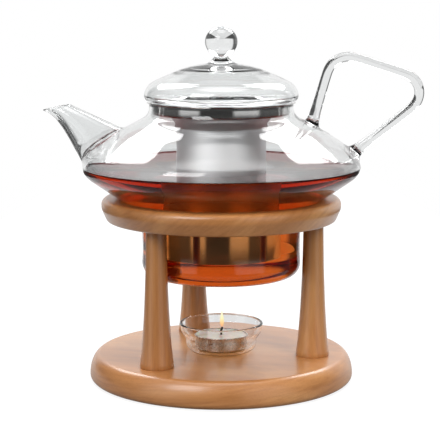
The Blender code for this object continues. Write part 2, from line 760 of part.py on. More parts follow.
build()
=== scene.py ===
"""Looks of the glass teapot on its wooden tealight warmer.

Outlines are in millimetres, in the frame of the CAD model: the origin is at the centre of the base's
underside, +Z is up, the handle is towards +X and the spout towards -X. MM turns them into metres. A corner
of an outline is (x, z), and its bend radius follows where it has one.
"""

import math

import bmesh
import bpy
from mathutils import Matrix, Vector


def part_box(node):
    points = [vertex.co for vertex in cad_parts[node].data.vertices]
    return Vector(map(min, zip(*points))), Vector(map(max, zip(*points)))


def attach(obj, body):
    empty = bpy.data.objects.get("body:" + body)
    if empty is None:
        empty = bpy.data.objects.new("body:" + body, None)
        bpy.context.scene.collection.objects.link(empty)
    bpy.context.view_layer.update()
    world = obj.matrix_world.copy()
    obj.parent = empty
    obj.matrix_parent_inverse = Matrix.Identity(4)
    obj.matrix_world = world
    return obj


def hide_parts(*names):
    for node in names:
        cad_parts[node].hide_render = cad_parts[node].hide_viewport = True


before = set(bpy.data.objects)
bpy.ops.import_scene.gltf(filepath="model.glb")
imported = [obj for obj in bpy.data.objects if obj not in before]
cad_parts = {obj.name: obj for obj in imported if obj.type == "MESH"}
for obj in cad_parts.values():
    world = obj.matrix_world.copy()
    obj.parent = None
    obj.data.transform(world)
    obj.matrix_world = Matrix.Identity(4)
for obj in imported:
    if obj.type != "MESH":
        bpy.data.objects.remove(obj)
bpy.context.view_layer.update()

MM = 0.001

# Edges of a mesh that turn more than this stay sharp, in degrees
SHARP_ANGLE = 40.0

# Pieces that rest on each other are this far apart
REST_GAP = 0.1

# Pot: its outside from the neck down
POT_WALL = 2.0
POT_SIDES = 192
NECK_RADIUS = 51.3
NECK_FOOT_Z = 190.3
NECK_FOOT_BEND = 7.0
SHOULDER = (75.1, 179.5)
SHOULDER_BEND = 180.0
EQUATOR_CORNER = (107.65, 154.97)
EQUATOR_BEND = 11.1
WELL_CORNER = (57.6, 120.3)
WELL_TOP_BEND = 10.0
WELL_WAIST = (56.2, 94.0)
WELL_WAIST_BEND = 150.0
WELL_FOOT_RADIUS = 57.8
WELL_FOOT_BEND = 9.0

# Spout: its edges in the plane of symmetry and its half depths across it, from root to mouth
SPOUT_WALL = 1.8
SPOUT_HOLE_INSET = 1.4
SPOUT_UPPER_EDGE = (Vector((-61.7, 176.8)), Vector((-106.4, 197.4)))
SPOUT_LOWER_EDGE = ((-96.8, 151.2), (-109.0, 174.4), (-115.6, 190.4), (-126.5, 193.6))
SPOUT_ROOT_DEPTH = 16.5
SPOUT_MOUTH_DEPTH = 7.6
SPOUT_FORWARD = Vector((-0.62, 0.78))
SPOUT_SIDES = 96
SPOUT_STEPS = 48
LIP_STEPS = 8

# Handle: each root is (its end, how far that end is inside the bowl)
HANDLE_RADIUS = 3.5
HANDLE_FLARE = 2.2
HANDLE_FLARE_REACH = 5.0
HANDLE_ROOTS = ((Vector((63.3, 179.8)), 4.5), (Vector((92.2, 161.8)), 3.5))
HANDLE_TOP_CORNER = (79.6, 235.9, 15.0)
HANDLE_OUTER_CORNER = (156.0, 211.4, 13.6)

# Seams that have melted together, as (centre, radius): the spout's and the handle's two
SEAMS = [(Vector((-88.0, 0.0, 170.0)), 30.0), (Vector((64.5, 0.0, 184.0)), 12.0),
         (Vector((96.0, 0.0, 164.5)), 12.0)]
SEAM_ANGLE = 18
SOFTENED_SHARP_ANGLE = 50

# Tea: TEA_INSET is its sides' depth in the glass, and WET_REACH how near to the inside a wet face is
TEA_LEVEL = 154.2
TEA_INSET = POT_WALL * 0.6
WET_REACH = POT_WALL * 0.4
MENISCUS_INSET = 0.2
MENISCUS_WIDTH = 1.6
MENISCUS_RISE = 0.9
MENISCUS_STEPS = 5

# Lid: the knob and the dome's outside, then its rim, skirt and inside
KNOB_RADII = (11.55, 10.75)
KNOB_END_ANGLE = -67
KNOB_STEM = (4.2, 231.6)
KNOB_FOOT = (9.4, 227.3)
DOME_CROWN = (26.0, 224.4)
DOME_BEND = 60.0
DOME_EDGE_Z = 211.4
LID_RADIUS = 55.0
LID_WALL = 2.1
LID_RIM_WALL = 2.2
SKIRT_RADIUS = 46.5
SKIRT_WALL = 2.0
SKIRT_FOOT_Z = 193.5
DOME_EDGE_INSIDE_Z = 210.0
DOME_CROWN_INSIDE = (25.5, 222.2)
DOME_TOP_INSIDE_Z = 225.2

# Infuser
INFUSER_SIDES = 128
RIM_WALL = 0.8
LIP_RADIUS = 53.0
LIP_CURL = 0.4
COLLAR_RADIUS = 49.0
COLLAR_FOOT_Z = 190.6
CONE_TOP = (36.8, 189.2)
CONE_FOOT = (33.2, 181.2)
POLISHED_ABOVE = 189.5
BASKET_WALL = 0.6
BASKET_RADIUS = 32.0
BASKET_BOTTOM = 88.0
SATIN_EDGE = (120.0, 150.0)
BOTTOM_CAP_RADIUS = 31.2
BOTTOM_CAP_HEIGHT = 3.0

# Ring, base and legs; the legs' ends reach a little into the wood they meet
RING_BORE = 61.3
RING_FOOT_RADIUS = 82.0
RING_RADIUS = 85.9
RING_SIDE_Z = 124.5
SEAT_GAP = 0.2
BASE_FOOT_BEND = 3.8
BASE_SIDE_BEND = 8.0
SCREW_WELL = ((0.0, -1.0), (4.5, -1.0), (4.5, 0.9), (2.3, 3.2), (0.0, 3.2))
LEG_CIRCLE = 67.0
LEG_ANGLES = {"front_left": -132.0, "right": -12.0, "back": 108.0}
LEG_SINK = 0.05
LEG_CHAMFER = (0.5, 0.8)
LEG_FOOT_RADIUS = 12.0
LEG_TOP_RADIUS = 7.1
LEG_TAPER = [(10.9, 28.0), (10.15, 36.0), (8.85, 56.0), (7.65, 84.0)]

# Candle
CANDLE_SIDES = 96
HOLDER_WALL = 1.5
HOLDER_RADIUS = 25.6
HOLDER_SIDE_TOP = 28.5
HOLDER_FLARE = (29.2, 33.0)
HOLDER_RIM_RADIUS = 30.0
HOLDER_BEAD_RADII = (0.95, 1.0)
CUP_WALL = 0.35
CUP_ROLL_RADII = (0.6, 0.55)
CUP_SIDE_DROP = 0.7
WAX_INSET = 1.05
WAX_FOOT_GAP = 1.0
WAX_BORE = 0.9
WICK_RADIUS = 0.75
WICK_SIDES = 16
WICK_STRANDS = 4
WICK_STRAND_SWELL = 0.14
WICK_TWIST = 0.9
WICK_FOOT_GAP = 1.5
WICK_CORNER = (0.0, 33.6, 1.2)
WICK_TIP = (0.9, 35.8)
FLAME_FOOT = 36.0
FLAME_TIP = 49.5
FLAME_WIDTH = 1.7
FLAME_AXIS = (0.5, 0.0)

# The wood's dark, middle and light shades, as sRGB from 0 to 255
WOOD_SHADES = ((170, 112, 60), (192, 133, 78), (208, 153, 96))

# Light in glass and tea
GLASS_TINT = (0.965, 0.975, 0.975)
CANDLE_GLASS_TINT = (0.99, 0.995, 0.995)
GLASS_IOR = 1.47
TEA_IOR = 1.333
TEA_COLOUR = (0.92, 0.53, 0.03, 1.0)
TEA_DENSITY = 48.0
GLASS_BOUNCES = 24
GLOSSY_BOUNCES = 8

# The room's walls by direction: from and to angle (0 is behind the pot, 90 to its right) and brightness
ROOM_ZONES = [(-180, -144, 0.05), (-144, -108, 0.9), (-108, -34, 0.14), (-34, 62, 0.88), (62, 116, 0.14),
              (116, 160, 0.9), (160, 180, 0.05)]
ZONE_BLUR = 3

# The room by height: where one brightness goes over into the next, in degrees of elevation, and the values
WALL_TOP = (34, 38)
CEILING_EDGE = (66, 76)
FLOOR_EDGE = (-8, -11)
DARK_BAND = 0.3
CEILING = 4.0
FLOOR = 0.08

# Softboxes: name, place and side in metres, watts, and whether they show in reflections
SOFTBOXES = [
    ("back_left", (-0.56, 0.76, 1.05), 0.6, 7.0, True),
    ("back_right", (0.56, 0.76, 1.05), 0.6, 7.0, True),
    ("front_left", (-0.8, -1.2, 1.2), 0.9, 15.0, True),
    ("front_right", (0.9, -1.1, 1.1), 0.9, 13.5, False),
]
LIGHTS_AIM = (0.0, 0.0, 0.12)

# Table and camera, in metres and degrees
TABLE_CENTRE_Y = 0.74
TABLE_HALF_WIDTH = 0.34
TABLE_TAPER = 0.1
TABLE_BACK_GLOW = 0.5
TABLE_GLOW_EDGE = (-0.12, 0.1)
TABLE_ALBEDO = 0.15
TABLE_GLOW = 0.84
CAMERA_PLACE = (-0.0009, -1.081, 0.283)
CAMERA_TILT = 8.85


# ------------------------ outlines

def top_of(node):
    """The highest point of a CAD node, in millimetres."""
    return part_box(node)[1].z / MM


def bottom_of(node):
    """The lowest point of a CAD node, in millimetres."""
    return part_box(node)[0].z / MM


def radius_of(node):
    """Half the width of a CAD node across X, in millimetres."""
    low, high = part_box(node)
    return (high.x - low.x) / 2 / MM


def arc(centre, radii, start, end, steps):
    """Points of an elliptical arc, with its angles in degrees."""
    points = []
    for index in range(steps + 1):
        angle = math.radians(start + (end - start) * index / steps)
        x = centre[0] + radii[0] * math.cos(angle)
        points.append(Vector((x, centre[1] + radii[1] * math.sin(angle))))
    return points


def bend(before, corner, after, radius, arc_step=7.0):
    """Points of the arc that rounds a corner between two other points."""
    to_before = (Vector(before[:2]) - Vector(corner[:2])).normalized()
    to_after = (Vector(after[:2]) - Vector(corner[:2])).normalized()
    half_angle = to_before.angle(to_after) / 2
    centre = Vector(corner[:2]) + (to_before + to_after).normalized() * radius / math.sin(half_angle)
    start = Vector(corner[:2]) + to_before * radius / math.tan(half_angle)
    end = Vector(corner[:2]) + to_after * radius / math.tan(half_angle)
    steps = max(2, math.ceil(math.degrees(math.pi - 2 * half_angle) / arc_step))
    points = []
    for index in range(steps + 1):
        spoke = (start - centre).slerp(end - centre, index / steps).normalized()
        points.append(centre + spoke * radius)
    return points


def rounded_path(corners):
    """An open path through (x, z) ends and (x, z, bend radius) corners."""
    points = [Vector(corners[0][:2])]
    for before, corner, after in zip(corners, corners[1:], corners[2:]):
        points += bend(before, corner, after, corner[2]) if len(corner) == 3 else [Vector(corner)]
    points.append(Vector(corners[-1][:2]))
    return points


def rounded_loop(corners):
    """A closed outline through (x, z, bend radius) corners."""
    points = []
    for index, corner in enumerate(corners):
        points += bend(corners[index - 1], corner, corners[(index + 1) % len(corners)], corner[2])
    return points


def resample(path, spacing):
    """The path with points at an even spacing."""
    lengths = [(b - a).length for a, b in zip(path, path[1:])]
    count = max(2, round(sum(lengths) / spacing))
    step = sum(lengths) / count
    points = [path[0].copy()]
    travelled = 0.0
    for a, b, length in zip(path, path[1:], lengths):
        while len(points) < count and travelled + length >= step * len(points):
            points.append(a.lerp(b, (step * len(points) - travelled) / length))
        travelled += length
    points.append(path[-1].copy())
    return points


def relax(path, rounds):
    """The path with its curvature evened out, its ends kept."""
    points = [point.copy() for point in path]
    for _ in range(rounds):
        middle = [(a + b * 2 + c) / 4 for a, b, c in zip(points, points[1:], points[2:])]
        points = [points[0]] + middle + [points[-1]]
    return points


def smooth_path(corners, spacing=1.2, rounds=6):
    """A rounded path whose bends run softly into its straights."""
    return relax(resample(rounded_path(corners), spacing), rounds)


def offset_path(path, distance):
    """The path moved sideways, to the right of its direction when distance is positive."""
    moved = []
    for index, point in enumerate(path):
        along = path[min(index + 1, len(path) - 1)] - path[max(index - 1, 0)]
        side = Vector((along.y, -along.x)).normalized()
        moved.append(point + side * distance)
    return moved


def bezier(control_points, t):
    """The point at t on a cubic Bezier curve."""
    weights = ((1 - t) ** 3, 3 * t * (1 - t) ** 2, 3 * t * t * (1 - t), t ** 3)
    return sum((Vector(point) * weight for point, weight in zip(control_points, weights)), Vector((0, 0)))


# ------------------------ meshes

def finish_mesh(name, builder, material, sharp_angle=SHARP_ANGLE):
    """An object from a bmesh, smooth except at edges that turn more than the sharp angle."""
    bmesh.ops.recalc_face_normals(builder, faces=builder.faces[:])
    mesh = bpy.data.meshes.new(name)
    builder.to_mesh(mesh)
    builder.free()
    mesh.shade_smooth()
    mesh.set_sharp_from_angle(angle=math.radians(sharp_angle))
    if material:
        mesh.materials.append(material)
    made = bpy.data.objects.new(name, mesh)
    bpy.context.scene.collection.objects.link(made)
    return made


def turned(name, profile, sides, material=None, sharp_angle=SHARP_ANGLE, centre=(0.0, 0.0)):
    """A solid turned about a vertical axis from a (radius, z) outline, closed or from axis to axis."""
    builder = bmesh.new()
    touching = 1e-6
    on_axis = profile[0][0] < touching and profile[-1][0] < touching
    rings = []
    for radius, z in profile:
        if radius < touching:
            rings.append([builder.verts.new((centre[0] * MM, centre[1] * MM, z * MM))])
            continue
        ring = []
        for index in range(sides):
            angle = 2 * math.pi * index / sides
            x = centre[0] + radius * math.cos(angle)
            y = centre[1] + radius * math.sin(angle)
            ring.append(builder.verts.new((x * MM, y * MM, z * MM)))
        rings.append(ring)
    pairs = list(zip(rings, rings[1:]))
    if not on_axis:
        pairs.append((rings[-1], rings[0]))
    for lower, upper in pairs:
        for index in range(sides):
            corners = [lower[index % len(lower)], lower[(index + 1) % len(lower)],
                       upper[(index + 1) % len(upper)], upper[index % len(upper)]]
            corners = [corner for place, corner in enumerate(corners) if corner not in corners[:place]]
            if len(corners) > 2:
                builder.faces.new(corners)
    return finish_mesh(name, builder, material, sharp_angle)


def lofted(name, rings, material=None, closed=False, sharp_angle=SHARP_ANGLE):
    """A skin over rings of points: with flat ends, or back round to its first ring when closed."""
    builder = bmesh.new()
    rows = [[builder.verts.new(point * MM) for point in ring] for ring in rings]
    pairs = list(zip(rows, rows[1:]))
    if closed:
        pairs.append((rows[-1], rows[0]))
    else:
        builder.faces.new(rows[0])
        builder.faces.new(rows[-1])
    for row, next_row in pairs:
        for index in range(len(row)):
            following = (index + 1) % len(row)
            builder.faces.new((row[index], row[following], next_row[following], next_row[index]))
    return finish_mesh(name, builder, material, sharp_angle)


def ellipse_ring(centre, half_width, half_depth, sides):
    """Points round an ellipse: half_width is a vector in the X-Z plane, half_depth a length along Y."""
    ring = []
    for index in range(sides):
        angle = 2 * math.pi * index / sides
        across = half_width * math.cos(angle)
        ring.append(Vector((centre.x + across.x, half_depth * math.sin(angle), centre.y + across.y)))
    return ring


def rod_rings(path, radii, sides):
    """Rings of a round rod along a path in the X-Z plane."""
    rings = []
    for index, point in enumerate(path):
        along = path[min(index + 1, len(path) - 1)] - path[max(index - 1, 0)]
        side = Vector((along.y, -along.x)).normalized()
        rings.append(ellipse_ring(point, side * radii[index], radii[index], sides))
    return rings


def combine(target, tool, operation):
    """Applies a Boolean with the tool to the target, and removes the tool."""
    modifier = target.modifiers.new("combine", "BOOLEAN")
    modifier.operation = operation
    modifier.solver = "EXACT"
    modifier.object = tool
    bpy.context.view_layer.update()
    evaluated = target.evaluated_get(bpy.context.evaluated_depsgraph_get())
    mesh = bpy.data.meshes.new_from_object(evaluated)
    target.modifiers.remove(modifier)
    target.data = mesh
    bpy.data.objects.remove(tool)
    return target


def place(piece, body, slot, *nodes):
    """Makes a piece ride on a body and lets it stand for CAD nodes. Its slot is not used."""
    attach(piece, body)
    if nodes:
        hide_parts(*nodes)
    return piece


# ------------------------ materials

class NodeTree:
    """A node tree with short ways to add nodes and links."""

    def __init__(self, tree):
        self.nodes = tree.nodes
        self.links = tree.links

    def add(self, kind, **settings):
        """A new node, with its own settings."""
        node = self.nodes.new(kind)
        for key, value in settings.items():
            setattr(node, key, value)
        return node

    def link(self, source, target):
        """Links an output to an input."""
        self.links.new(source, target)

    def coordinates(self, scale=(1, 1, 1), rotation=(0, 0, 0)):
        """The piece's own coordinates, in axes turned by the rotation, each then scaled."""
        source = self.add("ShaderNodeTexCoord")
        mapping = self.add("ShaderNodeMapping", vector_type="TEXTURE")
        mapping.inputs["Scale"].default_value = [1 / value for value in scale]
        mapping.inputs["Rotation"].default_value = rotation
        self.link(source.outputs["Object"], mapping.inputs["Vector"])
        return mapping.outputs["Vector"]

    def noise(self, vector, scale, detail=2.0, roughness=0.5, distortion=0.0):
        """A noise texture's value."""
        node = self.add("ShaderNodeTexNoise")
        node.inputs["Scale"].default_value = scale
        node.inputs["Detail"].default_value = detail
        node.inputs["Roughness"].default_value = roughness
        node.inputs["Distortion"].default_value = distortion
        self.link(vector, node.inputs["Vector"])
        return node.outputs["Fac"]

    def ramp(self, value, stops):
        """A colour ramp over (position, linear colour) stops."""
        node = self.add("ShaderNodeValToRGB")
        elements = node.color_ramp.elements
        while len(elements) < len(stops):
            elements.new(0.5)
        for element, (position, colour) in zip(elements, stops):
            element.position = position
            element.color = (*colour, 1.0)
        self.link(value, node.inputs["Fac"])
        return node.outputs["Color"]

    def map_range(self, value, low, high, from_low=0.0, from_high=1.0):
        """A value mapped to another range."""
        node = self.add("ShaderNodeMapRange")
        node.inputs["From Min"].default_value = from_low
        node.inputs["From Max"].default_value = from_high
        node.inputs["To Min"].default_value = low
        node.inputs["To Max"].default_value = high
        self.link(value, node.inputs["Value"])
        return node.outputs["Result"]

    def mix(self, factor, first, second, blend="MIX"):
        """Two colours mixed by a factor, each a socket or a plain value."""
        node = self.add("ShaderNodeMix", data_type="RGBA", blend_type=blend)
        # For colours, the factor is socket 0 and the two colours are sockets 6 and 7
        for socket, value in ((node.inputs[0], factor), (node.inputs[6], first), (node.inputs[7], second)):
            if isinstance(value, bpy.types.NodeSocket):
                self.link(value, socket)
            else:
                socket.default_value = value
        return node.outputs[2]


class Shader(NodeTree):
    """A material with a Principled shader."""

    def __init__(self, name):
        self.material = bpy.data.materials.new(name)
        self.material.use_nodes = True
        super().__init__(self.material.node_tree)
        self.principled = self.nodes["Principled BSDF"]
        self.output = self.nodes["Material Output"]

    def set(self, **values):
        """Sets the Principled shader's sockets, with spaces written as underscores."""
        for key, value in values.items():
            self.principled.inputs[key.replace("_", " ")].default_value = value

    def bump(self, height, strength, distance):
        """Bumps the shader's normal by a height."""
        node = self.add("ShaderNodeBump")
        node.inputs["Strength"].default_value = strength
        node.inputs["Distance"].default_value = distance
        self.link(height, node.inputs["Height"])
        self.link(node.outputs["Normal"], self.principled.inputs["Normal"])


def linear(red, green, blue):
    """The linear colour of an sRGB one given from 0 to 255."""
    values = []
    for value in (red, green, blue):
        value = value / 255
        values.append(value / 12.92 if value <= 0.04045 else ((value + 0.055) / 1.055) ** 2.4)
    return tuple(values)


def glass_material(name, tint, ripple, ior=GLASS_IOR):
    """Clear glass with faint ripples from blowing, which lets lamp light through to what is behind it."""
    shader = Shader(name)
    shader.set(Base_Color=(*tint, 1.0), Roughness=0.0, IOR=ior, Transmission_Weight=1.0)
    waves = shader.noise(shader.coordinates(scale=(1, 1, 0.6)), scale=45.0, detail=1.0)
    shader.bump(waves, strength=ripple, distance=0.001)
    clear = shader.add("ShaderNodeBsdfTransparent")
    path = shader.add("ShaderNodeLightPath")
    mix = shader.add("ShaderNodeMixShader")
    shader.link(path.outputs["Is Shadow Ray"], mix.inputs[0])
    shader.link(shader.principled.outputs["BSDF"], mix.inputs[1])
    shader.link(clear.outputs["BSDF"], mix.inputs[2])
    shader.link(mix.outputs["Shader"], shader.output.inputs["Surface"])
    return shader.material


def tea_material(name, ior):
    """Amber tea, darker with depth. Its surface bends light by the IOR against what it meets there."""
    shader = Shader(name)
    shader.set(Base_Color=(1.0, 1.0, 1.0, 1.0), Roughness=0.0, IOR=ior, Transmission_Weight=1.0)
    if ior > 1.0:
        swirl = shader.noise(shader.coordinates(), scale=30.0, detail=1.0)
        shader.bump(swirl, strength=0.03, distance=0.001)
    absorption = shader.add("ShaderNodeVolumeAbsorption")
    absorption.inputs["Color"].default_value = TEA_COLOUR
    absorption.inputs["Density"].default_value = TEA_DENSITY
    shader.link(absorption.outputs["Volume"], shader.output.inputs["Volume"])
    return shader.material


def wood_material(name, grain, tone=1.0):
    """Satin lacquered wood. grain turns Z to the fibres and X to the direction across the growth rings."""
    shader = Shader(name)
    across_rings = shader.coordinates((1.0, 0.16, 0.03), grain)
    rings = shader.noise(across_rings, scale=420.0, detail=2.0, distortion=0.4)
    across_boards = shader.coordinates((1.0, 0.4, 0.08), grain)
    boards = shader.noise(across_boards, scale=40.0, detail=3.0, distortion=0.8)
    along_fibres = shader.coordinates((1.0, 1.0, 0.03), grain)
    fibres = shader.noise(along_fibres, scale=1100.0, detail=2.0, roughness=0.6)
    clouds = shader.noise(shader.coordinates(), scale=14.0, detail=2.0)
    dark, middle, light = [tuple(value * tone for value in linear(*shade)) for shade in WOOD_SHADES]
    colour = shader.ramp(boards, [(0.3, dark), (0.5, middle), (0.7, light)])
    ring_tint = shader.ramp(rings, [(0.36, (0.74, 0.66, 0.58)), (0.55, (1.0, 1.0, 1.0))])
    fibre_tint = shader.ramp(fibres, [(0.3, (0.84, 0.8, 0.76)), (0.6, (1.0, 1.0, 1.0))])
    cloud_tint = shader.ramp(clouds, [(0.3, (0.93, 0.9, 0.88)), (0.7, (1.04, 1.03, 1.02))])
    colour = shader.mix(0.45, colour, ring_tint, "MULTIPLY")
    colour = shader.mix(0.5, colour, fibre_tint, "MULTIPLY")
    colour = shader.mix(1.0, colour, cloud_tint, "MULTIPLY")
    shader.link(colour, shader.principled.inputs["Base Color"])
    shader.link(shader.map_range(rings, 0.34, 0.5), shader.principled.inputs["Roughness"])
    shader.set(Coat_Weight=0.9, Coat_Roughness=0.25, Coat_IOR=1.5)
    shader.bump(fibres, strength=0.12, distance=0.0002)
    return shader.material


def steel_marks(shader):
    """Fine marks round the vertical axis, and faint larger blotches."""
    marks = shader.noise(shader.coordinates(scale=(0.4, 0.4, 30.0)), scale=120.0, detail=3.0)
    return marks, shader.noise(shader.coordinates(), scale=60.0, detail=2.0)


def polished_steel_material():
    """Mirror-bright stainless steel with faint turning marks."""
    shader = Shader("polished_steel")
    marks, blotches = steel_marks(shader)
    colour = shader.ramp(blotches, [(0.3, (0.56, 0.55, 0.54)), (0.7, (0.62, 0.61, 0.6))])
    shader.link(colour, shader.principled.inputs["Base Color"])
    shader.link(shader.map_range(marks, 0.04, 0.1), shader.principled.inputs["Roughness"])
    shader.set(Metallic=1.0)
    shader.bump(marks, strength=0.03, distance=0.0001)
    return shader.material


def basket_material():
    """Stainless steel, satin where it is finely perforated and polished in its lowest part."""
    shader = Shader("basket_steel")
    split = shader.add("ShaderNodeSeparateXYZ")
    shader.link(shader.coordinates(), split.inputs["Vector"])
    satin = shader.map_range(split.outputs["Z"], 0.0, 1.0, SATIN_EDGE[0] * MM, SATIN_EDGE[1] * MM)
    marks, blotches = steel_marks(shader)
    colour = shader.ramp(blotches, [(0.3, (0.72, 0.72, 0.73)), (0.7, (0.8, 0.8, 0.81))])
    shader.link(colour, shader.principled.inputs["Base Color"])
    polish = shader.map_range(marks, 0.08, 0.14)
    rough = shader.add("ShaderNodeMath", operation="MULTIPLY_ADD")
    shader.link(satin, rough.inputs[0])
    rough.inputs[1].default_value = 0.4
    shader.link(polish, rough.inputs[2])
    shader.link(rough.outputs[0], shader.principled.inputs["Roughness"])
    shader.set(Metallic=1.0)
    shader.bump(marks, strength=0.04, distance=0.0001)
    return shader.material


def metal_material(name, colour, roughness, grain_scale):
    """Plain metal with a fine mottled grain."""
    shader = Shader(name)
    grain = shader.noise(shader.coordinates(), grain_scale, detail=3.0)
    dull = tuple(value * 0.88 for value in colour)
    shader.link(shader.ramp(grain, [(0.3, dull), (0.7, colour)]), shader.principled.inputs["Base Color"])
    mottled = shader.map_range(grain, roughness * 0.8, roughness * 1.25)
    shader.link(mottled, shader.principled.inputs["Roughness"])
    shader.set(Metallic=1.0)
    shader.bump(grain, strength=0.05, distance=0.0001)
    return shader.material


def wax_material():
    """Glossy, slightly see-through white wax."""
    shader = Shader("melted_wax")
    clouds = shader.noise(shader.coordinates(), scale=180.0, detail=3.0)
    colour = shader.ramp(clouds, [(0.3, linear(226, 219, 204)), (0.7, linear(244, 240, 230))])
    shader.link(colour, shader.principled.inputs["Base Color"])
    shader.set(Roughness=0.12, Subsurface_Weight=0.4, Subsurface_Scale=0.004)
    shader.bump(clouds, strength=0.08, distance=0.0004)
    return shader.material


def wick_material():
    """Braided cotton, burnt black."""
    shader = Shader("burnt_wick")
    braid = shader.noise(shader.coordinates(scale=(1, 1, 0.4)), scale=2500.0, detail=2.0)
    colour = shader.ramp(braid, [(0.35, linear(22, 18, 15)), (0.7, linear(70, 58, 46))])
    shader.link(colour, shader.principled.inputs["Base Color"])
    shader.set(Roughness=0.95)
    shader.bump(braid, strength=0.5, distance=0.0003)
    return shader.material


def flame_material():
    """A glow from orange at the foot to pale yellow at the tip, fading out at its edges."""
    shader = Shader("candle_flame")
    split = shader.add("ShaderNodeSeparateXYZ")
    shader.link(shader.coordinates(), split.inputs["Vector"])
    height = shader.map_range(split.outputs["Z"], 0.0, 1.0, FLAME_FOOT * MM, FLAME_TIP * MM)
    stops = [(0.0, linear(255, 176, 128)), (0.25, linear(255, 214, 150)), (0.5, linear(255, 248, 196)),
             (1.0, linear(255, 253, 225))]
    emission = shader.add("ShaderNodeEmission")
    shader.link(shader.ramp(height, stops), emission.inputs["Color"])
    emission.inputs["Strength"].default_value = 1.0
    clear = shader.add("ShaderNodeBsdfTransparent")
    facing = shader.add("ShaderNodeLayerWeight")
    facing.inputs["Blend"].default_value = 0.35
    mix = shader.add("ShaderNodeMixShader")
    shader.link(facing.outputs["Facing"], mix.inputs[0])
    shader.link(emission.outputs["Emission"], mix.inputs[1])
    shader.link(clear.outputs["BSDF"], mix.inputs[2])
    shader.link(mix.outputs["Shader"], shader.output.inputs["Surface"])
    return shader.material


# ------------------------ pot

def bowl_outer_path():
    """The pot's outside, from just under the neck's rim down to the axis."""
    bottom = bottom_of("pot_bowl")
    return smooth_path([
        (NECK_RADIUS, top_of("pot_bowl") - POT_WALL / 2),
        (NECK_RADIUS, NECK_FOOT_Z, NECK_FOOT_BEND),
        (*SHOULDER, SHOULDER_BEND),
        (*EQUATOR_CORNER, EQUATOR_BEND),
        (*WELL_CORNER, WELL_TOP_BEND),
        (*WELL_WAIST, WELL_WAIST_BEND),
        (WELL_FOOT_RADIUS, bottom, WELL_FOOT_BEND),
        (0.0, bottom),
    ])


def bowl_inner_path(outer, depth):
    """The pot's outside moved into its wall by this depth, and ending on the axis."""
    inner = offset_path(outer, depth)
    inner[-1] = Vector((0.0, inner[-1].y))
    return inner


def make_bowl_shell(outer, glass):
    """The blown body with a round rim."""
    inner = bowl_inner_path(outer, POT_WALL)
    half_wall = POT_WALL / 2
    rim = arc((NECK_RADIUS - half_wall, outer[0].y), (half_wall, half_wall), 180, 0, steps=8)
    return turned("pot_glass", inner[::-1] + rim[1:-1] + outer, POT_SIDES, glass)


def make_wall_core(outer):
    """A solid up to the middle of the pot's wall, which trims the ends of what is fused to the outside."""
    middle = bowl_inner_path(outer, POT_WALL / 2)
    return turned("wall_core", [Vector((0.0, middle[0].y))] + middle, POT_SIDES)


def spout_ring(t, depth, forward=0.0):
    """A ring of the spout, t of the way out, this deep under its surface and moved forward by some."""
    upper = SPOUT_UPPER_EDGE[0].lerp(SPOUT_UPPER_EDGE[1], t)
    lower = bezier(SPOUT_LOWER_EDGE, t)
    half_width = (upper - lower) / 2
    half_width *= 1 - depth / half_width.length
    half_depth = SPOUT_ROOT_DEPTH + (SPOUT_MOUTH_DEPTH - SPOUT_ROOT_DEPTH) * t - depth
    centre = (upper + lower) / 2 + SPOUT_FORWARD * forward
    return ellipse_ring(centre, half_width, half_depth, SPOUT_SIDES)


def make_spout_shell():
    """The spout's tube with a rounded lip."""
    half_wall = SPOUT_WALL / 2
    stations = [index / SPOUT_STEPS for index in range(SPOUT_STEPS + 1)]
    rings = [spout_ring(t, 0.0) for t in stations]
    for index in range(1, LIP_STEPS):
        angle = math.pi * index / LIP_STEPS
        rings.append(spout_ring(1.0, half_wall * (1 - math.cos(angle)), half_wall * math.sin(angle)))
    rings += [spout_ring(t, SPOUT_WALL) for t in reversed(stations)]
    return lofted("spout_tube", rings, closed=True)


def make_spout_hole():
    """The way from the bowl into the first part of the spout, a little wider than the spout's bore."""
    stations = [index / 20 for index in range(13)]
    return lofted("spout_hole", [spout_ring(t, SPOUT_HOLE_INSET) for t in stations])


def make_handle_rod():
    """The handle's rod, which flares where it leaves the bowl."""
    (upper_root, _), (lower_root, _) = HANDLE_ROOTS
    corners = [upper_root, HANDLE_TOP_CORNER, HANDLE_OUTER_CORNER, lower_root]
    path = smooth_path(corners, spacing=1.0, rounds=12)
    radii = []
    for point in path:
        outside = min((point - root).length - buried for root, buried in HANDLE_ROOTS)
        radii.append(HANDLE_RADIUS + HANDLE_FLARE * math.exp(-max(outside, 0.0) / HANDLE_FLARE_REACH))
    return lofted("handle_rod", rod_rings(path, radii, sides=40))


def soften_seams(piece, seams, reach, rounds):
    """Melts the sharp seams between fused pieces: seams is a list of (point, radius) balls around them."""
    builder = bmesh.new()
    builder.from_mesh(piece.data)
    bmesh.ops.triangulate(builder, faces=[face for face in builder.faces if len(face.verts) > 4])
    sharp = set()
    for edge in builder.edges:
        if len(edge.link_faces) == 2 and edge.calc_face_angle(0.0) > math.radians(SEAM_ANGLE):
            middle = (edge.verts[0].co + edge.verts[1].co) / 2
            if any((middle - point * MM).length < radius * MM for point, radius in seams):
                sharp.update(edge.verts)
    near = set(sharp)
    for _ in range(reach):
        near.update(edge.other_vert(vert) for vert in list(near) for edge in vert.link_edges)
    for _ in range(rounds):
        bmesh.ops.smooth_vert(builder, verts=list(near), factor=0.5, use_axis_x=True, use_axis_y=True,
                              use_axis_z=True)
    builder.to_mesh(piece.data)
    builder.free()
    piece.data.shade_smooth()
    piece.data.set_sharp_from_angle(angle=math.radians(SOFTENED_SHARP_ANGLE))


